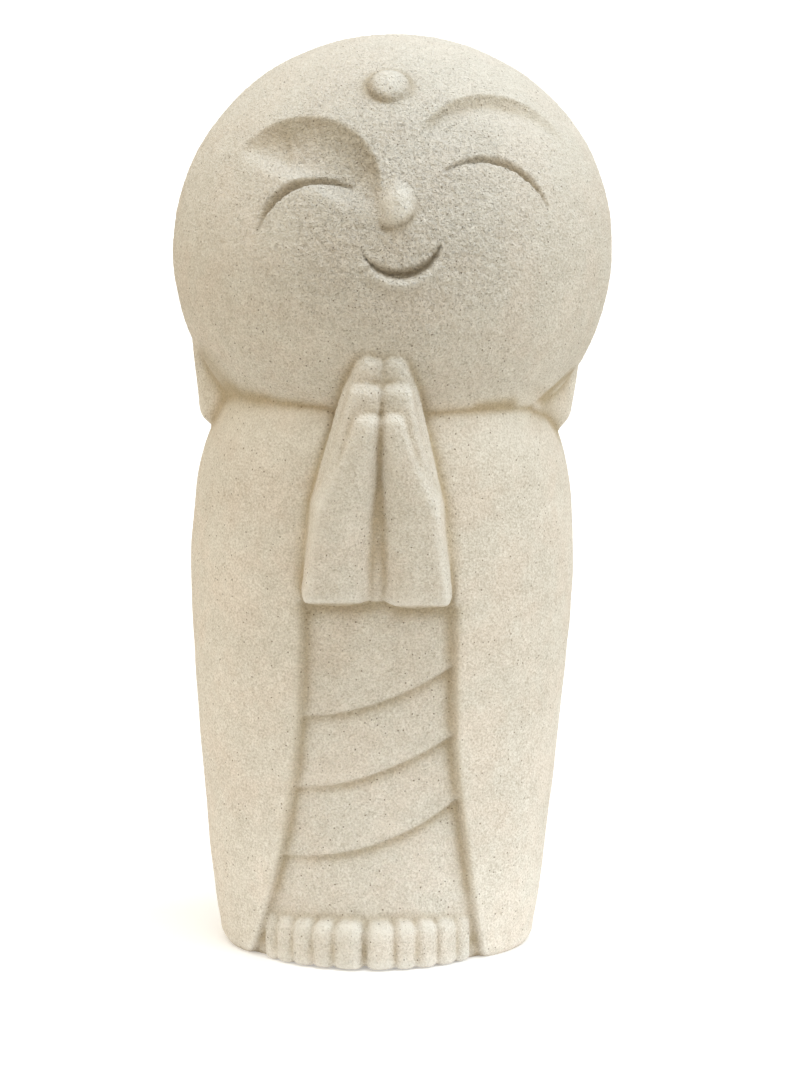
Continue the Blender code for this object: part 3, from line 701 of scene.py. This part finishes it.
def roughness(points):  # 1 in the middle of the face, less over the rest
    across, up, out = inFacePlane(points)
    midAcross, midUp, reach, upShare, ending = grain["roughFace"]
    far = np.hypot(across - midAcross, (up - midUp) * upShare) / reach
    onFace = np.exp(-(far**ending)) * (out > grain["roughFaceFrom"] * headRadii.y)
    smoother, reach, ending = grain["smoothNose"]
    offNose = np.hypot(across - face["nose"][0], up - face["nose"][1]) / reach
    onFace *= 1 - smoother * np.exp(-(offNose**ending))
    left, right = openingSpan(points[:, 2])
    inside = np.minimum(points[:, 0] - left, right - points[:, 0])
    inFront = smoothStep(*grain["frontEdge"], inside) * (points[:, 1] < 0)
    onHead = smoothStep(*grain["headEdge"], points[:, 2] - headBottom)
    rest = grain["robe"] + (grain["front"] - grain["robe"]) * inFront
    rest = rest + (grain["head"] - rest) * onHead
    return rest + (1 - rest) * onFace


def roughen(obj):
    points = readPoints(obj.data)
    normals = readPoints(obj.data, "normal")
    rough = roughness(points)
    waves = np.empty((len(points), 4))
    apart = Vector(grain["pitShift"])
    for i, p in enumerate(points):
        spot = Vector(p)
        waves[i] = (
            noise.noise(spot / grain["lumpSize"]),
            noise.noise(spot * 2 / grain["lumpSize"]),
            noise.noise(spot / grain["pitSize"] + apart),
            noise.noise(spot / grain["waveSize"]),
        )
    lump, half, pit, wave = waves.T
    height = rough * grain["lumpHeight"] * (lump + grain["halfLumps"] * half)
    height -= rough * grain["pitDepth"] * smoothStep(*grain["pitEdge"], pit)
    writePoints(obj.data, points + normals * (height + grain["waveHeight"] * wave)[:, None])
    return rough


valleys = {
    # rounds of smoothing
    "leftEar": 60,
    "leftNeck": 8,
    "palms": 25,
    # places between which each is smoothed: where that starts, is full, fades and ends
    "earOut": (44.0, 52.0, 80.0, 86.0),  # mm to the left of the head's middle
    "earUp": (10.0, 16.0, 48.0, 60.0),  # mm above the head's bottom, as is the next
    "neckUp": (28.0, 34.0, 50.0, 56.0),
    "neckOut": 35.0,  # mm to the left of the hands
    "palmsAlong": (0.08, 0.2, 0.3, 0.46),  # share of the hands' length
    "palmsBehind": 6.0,  # mm behind the robe's front
    "palmLine": 3.0,  # mm to either side of it that keep their shape
}


def edgesOf(mesh):
    edges = np.empty(len(mesh.edges) * 2, np.int32)
    mesh.edges.foreach_get("vertices", edges)
    return edges.reshape(-1, 2)


def averaged(values, edges, count, rounds):  # neighbours' mean, over and over
    ends = np.concatenate([edges[:, 0], edges[:, 1]])
    others = np.concatenate([edges[:, 1], edges[:, 0]])
    share = np.bincount(ends, minlength=count)
    for _ in range(rounds):
        sums = [np.bincount(ends, weights=column[others], minlength=count) for column in values.T]
        values = np.stack([column / share for column in sums], axis=1)
    return values


def softened(points, edges, share, rounds):  # smooths where share is above 0, in full where it is 1
    kept = edges[(share > 0)[edges].all(1)]
    used = np.unique(kept)
    place = np.zeros(len(points), int)
    place[used] = np.arange(len(used))
    smooth = averaged(points[used], place[kept], len(used), rounds)
    moved = points.copy()
    moved[used] += share[used, None] * (smooth - points[used])
    return moved


def softenValleys(obj):  # the left ear flows into the head, the robe into the neck; the palms are even
    points = readPoints(obj.data)
    edges = edgesOf(obj.data)
    x, y, z = points.T
    up = z - headBottom
    inEar = between(between(1, valleys["earOut"], headCentre.x - x), valleys["earUp"], up)
    atNeck = between(1, valleys["neckUp"], up) * (x < hands["topShift"] - valleys["neckOut"])
    share = (z - handsHeight(0)) / hands["length"]
    onPalms = between(y < valleys["palmsBehind"] - robe["depth"] / 2, valleys["palmsAlong"], share)
    offLine = np.abs(x - handsMiddle(share) - hands["palmLineShift"])
    onPalms = onPalms * (offLine > valleys["palmLine"])
    for name, where in (("leftEar", inEar * (y < 0)), ("leftNeck", atNeck), ("palms", onPalms)):
        points = softened(points, edges, where, valleys[name])
    writePoints(obj.data, points)


# painted shade in crevices, recesses and under forms, and painted highlight with wear where forms stand
# out
paintedShade = {
    "fineRounds": 10,
    "fineDepth": 0.28,  # mm that a groove lies below its smoothed surroundings to count in full
    "fineShare": 0.5,
    "wideRounds": 70,
    "wideDepth": 1.9,
    "wearAndHighlight": (0.2, 0.9),  # shares of wideDepth that a form stands out to get painted highlight and wear, and in full
    "evenRounds": 2,
    "faceKept": 0.15,  # share of all this kept on the face
    "faceEdge": (44.0, 62.0),  # mm from the face's middle between which it grows back
    "toesKept": 0.1,  # share kept of the wide crevices round the toes
    "toesUp": (8.0, 14.0, 28.0, 34.0),  # heights between which that holds
    # shade on the slope down into the opening, then place and width as shares of its bevel
    "openingEdge": (0.65, 0.3, 0.35),
    "openingFoot": (10.0, 60.0),  # heights between which it grows to full
    "openingTop": 10.0,  # mm below the hands over which it fades
    "seenFrom": 11.5,  # degrees above the front, from where the painted shade strokes below are laid out
    # each painted shade stroke: x and seen height of both ends, reach to the left and right of the line,
    # strength
    "shadeStrokes": (
        ((-74.9, 259.5), (-63.3, 244.2), 3.5, 4.0, 0.7),  # painted shade in the valley in front of the left ear
        ((-63.3, 244.2), (-48.8, 239.1), 3.5, 2.5, 0.6),
        ((-64.1, 242.9), (-71.0, 232.0), 3.0, 2.5, 0.35),
        ((-54.0, 240.4), (-32.4, 236.2), 1.8, 1.2, 0.5),
        ((85.1, 252.6), (69.6, 239.1), 1.1, 0.6, 1.0),  # painted shade along the crease in front of the right ear
        ((85.1, 252.6), (69.6, 239.1), 8.0, 0.6, 0.28),
        ((69.6, 239.1), (78.1, 224.8), 6.0, 0.4, 0.45),
        ((44.5, 235.9), (59.2, 237.9), 2.5, 1.4, 1.0),  # painted shade at the neck on the right
        ((60.9, 237.0), (68.8, 239.4), 2.5, 2.5, -0.5),
        ((2.7, 256.5), (2.4, 233.0), 1.6, 1.6, -0.5),  # less painted shade along the seam between the fingertips
        ((-30.0, 149.9), (-4.2, 149.9), 0.5, 5.0, 0.95),  # painted shadow under the heels of the hands
        ((10.7, 148.7), (32.0, 148.7), 0.5, 5.0, 0.95),
    ),
}


# painted shade along the strokes, laid out as seen from a little above the front; a strength below 0
# lessens it
def shadeStrokeShare(points):
    x, y, z = points.T
    seen = z + y * math.tan(math.radians(paintedShade["seenFrom"]))
    total = np.zeros(len(points))
    for (x1, h1), (x2, h2), left, right, strength in paintedShade["shadeStrokes"]:
        length = math.hypot(x2 - x1, h2 - h1)
        a, b = (x2 - x1) / length, (h2 - h1) / length
        along = (x - x1) * a + (seen - h1) * b
        aside = (seen - h1) * a - (x - x1) * b
        past = np.maximum(np.maximum(-along, along - length), 0)
        reach = np.where(aside > 0, left, right)
        total += strength * np.exp(-((aside / reach) ** 2) - (past / max(left, right)) ** 2) * (y < 0)
    return total


def shadeShares(mesh):  # painted shade: how far each point lies in a crevice, recess or shadow, and painted highlight with wear where it stands out
    points = readPoints(mesh)
    normals = readPoints(mesh, "normal")
    edges = edgesOf(mesh)
    fine = averaged(points, edges, len(points), paintedShade["fineRounds"])
    wide = averaged(fine, edges, len(points), paintedShade["wideRounds"])
    below = ((fine - points) * normals).sum(1) / paintedShade["fineDepth"]
    deep = ((wide - points) * normals).sum(1) / paintedShade["wideDepth"]
    wearAndHighlight = smoothStep(*paintedShade["wearAndHighlight"], -deep)
    across, up, out = inFacePlane(points)
    kept, offFace = paintedShade["faceKept"], smoothStep(*paintedShade["faceEdge"], np.hypot(across, up))
    general = np.where(out > 0, kept + (1 - kept) * offFace, 1)
    x, y, z = points.T
    deep = deep * (1 - (1 - paintedShade["toesKept"]) * between(y < 0, paintedShade["toesUp"], z))
    left, right = openingSpan(z)
    slope = np.minimum(x - left, right - x) / opening["bevel"]
    strength, middle, width = paintedShade["openingEdge"]
    fade = (handsHeight(0) - paintedShade["openingTop"], handsHeight(0))
    onSlope = between(y < 0, (*paintedShade["openingFoot"], *fade), z)
    # painted shade from the face, on the opening's slopes and along the strokes
    addedShade = facePaintedShade(across, up) * (out > 0)
    addedShade += strength * hump(slope, middle, width) * onSlope + shadeStrokeShare(points)
    hollow = paintedShade["fineShare"] * np.clip(below, 0, 1) + np.clip(deep, 0, 1)
    share = np.clip(general * hollow + addedShade, 0, 1)
    return averaged(np.stack([share, wearAndHighlight], axis=1), edges, len(points), paintedShade["evenRounds"]).T


def setShade(mesh, name, values):
    layer = mesh.attributes.new(name, "FLOAT", "POINT")
    layer.data.foreach_set("value", values.astype(np.float32))


def thinOut(obj):
    thin = obj.modifiers.new("thinOut", "DECIMATE")
    thin.ratio = figure["triangles"] / (2 * len(obj.data.polygons))  # the skin is all quads so far
    keepResult(obj)


def cutFlat(obj):  # takes off what is below the floor and closes the underside
    skin = bmesh.new()
    skin.from_mesh(obj.data)
    everything = skin.verts[:] + skin.edges[:] + skin.faces[:]
    floor = {"plane_co": (0, 0, 0), "plane_no": (0, 0, 1)}
    cut = bmesh.ops.bisect_plane(skin, geom=everything, clear_inner=True, **floor)
    rim = [e for e in cut["geom_cut"] if isinstance(e, bmesh.types.BMEdge)]
    bmesh.ops.contextual_create(skin, geom=rim)
    bmesh.ops.triangulate(skin, faces=skin.faces)
    bmesh.ops.recalc_face_normals(skin, faces=skin.faces)
    skin.to_mesh(obj.data)
    skin.free()


stone = {
    "slot": "cast_stone",
    "pale": (0.91, 0.865, 0.785),
    "sand": (0.54, 0.485, 0.40),
    "paintedTopLight": (0.92, 0.885, 0.81),  # painted light, where it looks up
    "wearAndHighlight": (0.975, 0.95, 0.885),  # painted highlight and wear, where it stands out
    "wearAndHighlightShare": 0.45,
    "paintedShadeTint": (0.64, 0.56, 0.42),  # painted shade: what the colour is multiplied by in crevices, recesses and shadows
    "faceLitTone": (0.965, 0.91, 0.805),  # painted light: what the rough skin is blended towards, lightening it
    "faceLitShare": 0.3,
    "blushTint": (1.0, 0.965, 0.95),
    # darker in the bump's pits: dirt, and painted shade for the pits' relief
    "pitTint": (0.60, 0.52, 0.40),
    "pitStrength": 0.25,
    # noises: size in mm, detail and roughness
    "grains": (0.9, 3.0, 0.65),
    "pits": (1.2, 2.0, 0.5),
    "mottle": (7.0, 3.0, 0.6),
    "patches": (45.0, 2.0, 0.5),
    "blush": (22.0, 3.0, 0.6),
    # low and high value that count, and what they become where that isn't 0 and 1
    "grainTone": (0.3, 0.7),
    "patchTone": (0.35, 0.65, -0.08, 0.08),
    "mottleTone": (0.3, 0.7, -0.12, 0.12),
    "blushShare": (0.42, 0.62),
    "pitShare": (0.45, 0.3),
    "pitsWhereRough": (0.0, 1.0, 0.25, 1.0),
    "topLightWhereUp": (0.0, 0.9, 0.0, 0.4),
    "grainReliefWhereRough": (0.0, 1.0, 0.3, 1.8),
    "pitReliefWhereRough": (0.0, 1.0, 0.15, 1.0),
    # dark dots: mm between places where one may be, radius, share of the places and colour
    "specks": (3.0, 0.45, 0.55, (0.16, 0.11, 0.06)),
    "speckStrength": 0.85,
    "pepper": (1.4, 0.30, 0.50, (0.30, 0.235, 0.15)),
    "dotCore": 0.5,  # share of the radius that is dark in full
    "dotWobble": 0.5,  # mm that noise bends the dots out of round
    "grainHeight": 1.1,  # mm
    "pitHeight": 1.2,
    "roughness": 0.92,
    "specular": 0.25,
}
nodeRows, nodeGap = 6, 220  # layout of the node tree


class Shading:  # the node tree of one material, with a short call for each kind of node
    def __init__(self, name):
        self.material = bpy.data.materials.new(name)
        self.material.use_nodes = True
        self.tree = self.material.node_tree
        self.shader = self.tree.nodes["Principled BSDF"]

    def add(self, kind, *sources, output=0, **settings):
        node = self.tree.nodes.new("ShaderNode" + kind)
        column, row = divmod(len(self.tree.nodes), nodeRows)
        node.location = (-nodeGap * (column + 1), -nodeGap * row)
        for name, value in settings.items():
            setattr(node, name, value)
        for socket, source in sources:
            if isinstance(source, bpy.types.NodeSocket):
                self.tree.links.new(source, node.inputs[socket])
            elif isinstance(source, tuple) and len(node.inputs[socket].default_value) == 4:
                node.inputs[socket].default_value = (*source, 1)
            else:
                node.inputs[socket].default_value = source
        return node.outputs[output]

    def noise(self, place, size, detail, rough):
        settings = (("Scale", 1 / (size * perMm)), ("Detail", detail), ("Roughness", rough))
        return self.add("TexNoise", ("Vector", place), *settings)

    def rescale(self, value, low, high, toLow=0.0, toHigh=1.0):  # 0 to 4 are the number sockets
        return self.add("MapRange", (0, value), (1, low), (2, high), (3, toLow), (4, toHigh))

    def calculate(self, operation, first, second):
        return self.add("Math", (0, first), (1, second), operation=operation)

    def times(self, first, second):
        return self.calculate("MULTIPLY", first, second)

    def blend(self, share, first, second, kind="MIX"):  # 6, 7 and 2 are the node's colour sockets
        sources = ((0, share), (6, first), (7, second))
        return self.add("Mix", *sources, output=2, data_type="RGBA", blend_type=kind)

    def attribute(self, name):
        return self.add("Attribute", output="Fac", attribute_name=name)


def castStone():
    cast = Shading("sandy_cast_stone")
    place = cast.add("TexCoord", output="Object")
    grains = cast.noise(place, *stone["grains"])
    pits = cast.noise(place, *stone["pits"])
    mottle = cast.noise(place, *stone["mottle"])
    patches = cast.noise(place, *stone["patches"])
    blush = cast.noise(place, *stone["blush"])
    rough, inPaintedShade = cast.attribute("rough"), cast.attribute("paintedShade")

    # pale and darker grains over mottling and slow patches, with painted light where the figure looks up
    # and painted highlight with wear where it stands out
    tone = cast.rescale(grains, *stone["grainTone"])
    tone = cast.calculate("ADD", tone, cast.rescale(patches, *stone["patchTone"]))
    tone = cast.calculate("ADD", tone, cast.rescale(mottle, *stone["mottleTone"]))
    colour = cast.blend(tone, stone["sand"], stone["pale"])
    blushing = cast.rescale(blush, *stone["blushShare"])
    colour = cast.blend(blushing, colour, stone["blushTint"], "MULTIPLY")
    upwards = cast.add("SeparateXYZ", (0, cast.add("NewGeometry", output="Normal")), output="Z")
    colour = cast.blend(cast.rescale(upwards, *stone["topLightWhereUp"]), colour, stone["paintedTopLight"])
    wearAndHighlight = cast.times(cast.attribute("wearAndHighlight"), stone["wearAndHighlightShare"])
    colour = cast.blend(wearAndHighlight, colour, stone["wearAndHighlight"])

    # painted shade in the crevices, painted light over the rough face, and dirt with painted shade in
    # its pits
    colour = cast.blend(inPaintedShade, colour, stone["paintedShadeTint"], "MULTIPLY")
    colour = cast.blend(cast.times(rough, stone["faceLitShare"]), colour, stone["faceLitTone"])
    pitted = cast.rescale(pits, *stone["pitShare"])
    pitted = cast.times(pitted, cast.rescale(rough, *stone["pitsWhereRough"]))
    pitted = cast.times(pitted, stone["pitStrength"])
    colour = cast.blend(pitted, colour, stone["pitTint"], "MULTIPLY")

    # dark specks everywhere, and finer ones where the skin is rough
    wobble = ((0, grains.node.outputs["Color"]), ("Scale", stone["dotWobble"] * perMm))
    bend = cast.add("VectorMath", *wobble, operation="SCALE")
    bent = cast.add("VectorMath", (0, place), (1, bend), operation="ADD")
    kinds = ((stone["specks"], stone["speckStrength"]), (stone["pepper"], rough))
    for (cell, radius, share, dotColour), strength in kinds:
        dots = cast.add("TexVoronoi", ("Vector", bent), ("Scale", 1 / (cell * perMm)))
        near = cast.rescale(dots, radius / cell, radius / cell * stone["dotCore"])
        lot = cast.add("SeparateColor", (0, dots.node.outputs["Color"]))
        chosen = cast.calculate("LESS_THAN", lot, share)
        colour = cast.blend(cast.times(cast.times(near, chosen), strength), colour, dotColour)

    # relief finer than the mesh: grains everywhere, pits where the skin is rough
    grainRelief = cast.times(grains, cast.rescale(rough, *stone["grainReliefWhereRough"]))
    pitRelief = cast.times(pits, cast.rescale(rough, *stone["pitReliefWhereRough"]))
    fine = (("Height", grainRelief), ("Distance", stone["grainHeight"] * perMm))
    coarse = (("Height", pitRelief), ("Distance", stone["pitHeight"] * perMm))
    relief = cast.add("Bump", *coarse, ("Normal", cast.add("Bump", *fine)))
    cast.tree.links.new(colour, cast.shader.inputs["Base Color"])
    cast.tree.links.new(relief, cast.shader.inputs["Normal"])
    cast.shader.inputs["Roughness"].default_value = stone["roughness"]
    cast.shader.inputs["Specular IOR Level"].default_value = stone["specular"]
    return cast.material


def makeFigure():
    monk = blockOut()
    bpy.context.scene.collection.objects.link(monk)
    fuse(monk)
    print("fused:", len(monk.data.vertices), "points")
    softenValleys(monk)
    carve(monk)
    # painted shade and painted highlight with wear, kept on the points for the material
    inPaintedShade, wearAndHighlight = shadeShares(monk.data)
    setShade(monk.data, "paintedShade", inPaintedShade)
    setShade(monk.data, "wearAndHighlight", wearAndHighlight)
    setShade(monk.data, "rough", roughen(monk))
    print("carved and roughened")
    thinOut(monk)
    cutFlat(monk)
    print("thinned out to", len(monk.data.polygons), "triangles")
    monk.data.transform(Matrix.Scale(perMm, 4))
    monk.data.transform(Matrix.Translation((0, 0, lowCorner.z)))
    monk.data.shade_smooth()
    monk.data.materials.append(castStone())
    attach(monk, "root")
    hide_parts(figure["node"])


makeFigure()

studio = {
    "distance": 3.0,  # metres from the camera to the point it looks at
    "pitch": 11.5,
    "lens": 226.2,
    "sensor": 36.0,
    "aim": (10.3, 0.0, 175.5),  # mm, in the figure's own measure
    "sunDistance": 2.0,  # metres, which changes nothing
    # name: turn from the camera's side towards its right and height in degrees, strength,
    # spread in degrees, colour
    "lights": {
        "above": (25.0, 78.0, 1.55, 40.0, (0.88, 1.0, 1.14)),
        "right": (80.0, 24.0, 1.0, 40.0, (0.88, 1.0, 1.12)),
        "left": (-85.0, 20.0, 0.47, 60.0, (1.0, 0.82, 0.62)),
    },
    "floorColour": (0.85, 0.85, 0.85),
    "floorGlow": 0.25,  # the sheet is lit from below too, as on a light table
    "floorSides": 64,
    # name: radius, height and whether it throws light back up at the figure, which the far floor
    # doesn't
    "sheets": {
        "floor": (40.0, -0.0002, False),
        "paper": (0.28, -0.0001, True),
    },
    "world": 0.74,  # strength
    "worldColour": (1.0, 0.93, 0.77),
}


def aimed(obj, location, target):
    obj.location = location
    obj.rotation_euler = (Vector(location) - target).to_track_quat("Z", "Y").to_euler()
    bpy.context.scene.collection.objects.link(obj)


def makeCamera(aim):
    camera = bpy.data.cameras.new("camera")
    camera.sensor_width = studio["sensor"]
    camera.lens = studio["lens"]
    cameraObject = bpy.data.objects.new("camera", camera)
    pitch = math.radians(studio["pitch"])
    back = Vector((0, -math.cos(pitch), math.sin(pitch)))
    aimed(cameraObject, aim + back * studio["distance"], aim)
    bpy.context.scene.camera = cameraObject


def makeLights(aim):
    for name, (turn, height, strength, spread, colour) in studio["lights"].items():
        light = bpy.data.lights.new(name, "SUN")
        light.energy = strength
        light.angle = math.radians(spread)
        light.color = colour
        turn, height = math.radians(turn), math.radians(height)
        level = math.cos(height)
        towards = Vector((math.sin(turn) * level, -math.cos(turn) * level, math.sin(height)))
        aimed(bpy.data.objects.new(name, light), aim + towards * studio["sunDistance"], aim)


def makeFloor():
    paint = bpy.data.materials.new("pale_floor")
    paint.use_nodes = True
    surface = paint.node_tree.nodes["Principled BSDF"].inputs
    surface["Base Color"].default_value = (*studio["floorColour"], 1)
    surface["Roughness"].default_value = 1.0
    surface["Emission Color"].default_value = (1, 1, 1, 1)
    surface["Emission Strength"].default_value = studio["floorGlow"]
    for name, (radius, height, throwsLight) in studio["sheets"].items():
        disc = bmesh.new()
        bmesh.ops.create_circle(disc, cap_ends=True, segments=studio["floorSides"], radius=radius)
        mesh = bpy.data.meshes.new(name)
        disc.to_mesh(mesh)
        disc.free()
        mesh.materials.append(paint)
        sheet = bpy.data.objects.new(name, mesh)
        sheet.location.z = height
        sheet.visible_diffuse = throwsLight
        bpy.context.scene.collection.objects.link(sheet)


def makeWorld():
    world = bpy.data.worlds.new("studio")
    world.use_nodes = True
    backdrop = world.node_tree.nodes["Background"].inputs
    backdrop["Color"].default_value = (*studio["worldColour"], 1)
    backdrop["Strength"].default_value = studio["world"]
    bpy.context.scene.world = world
    bpy.context.scene.view_settings.view_transform = "Standard"


aimPoint = Vector(studio["aim"]) * perMm
makeCamera(aimPoint)
makeLights(aimPoint)
makeFloor()
makeWorld()
print("studio set up")
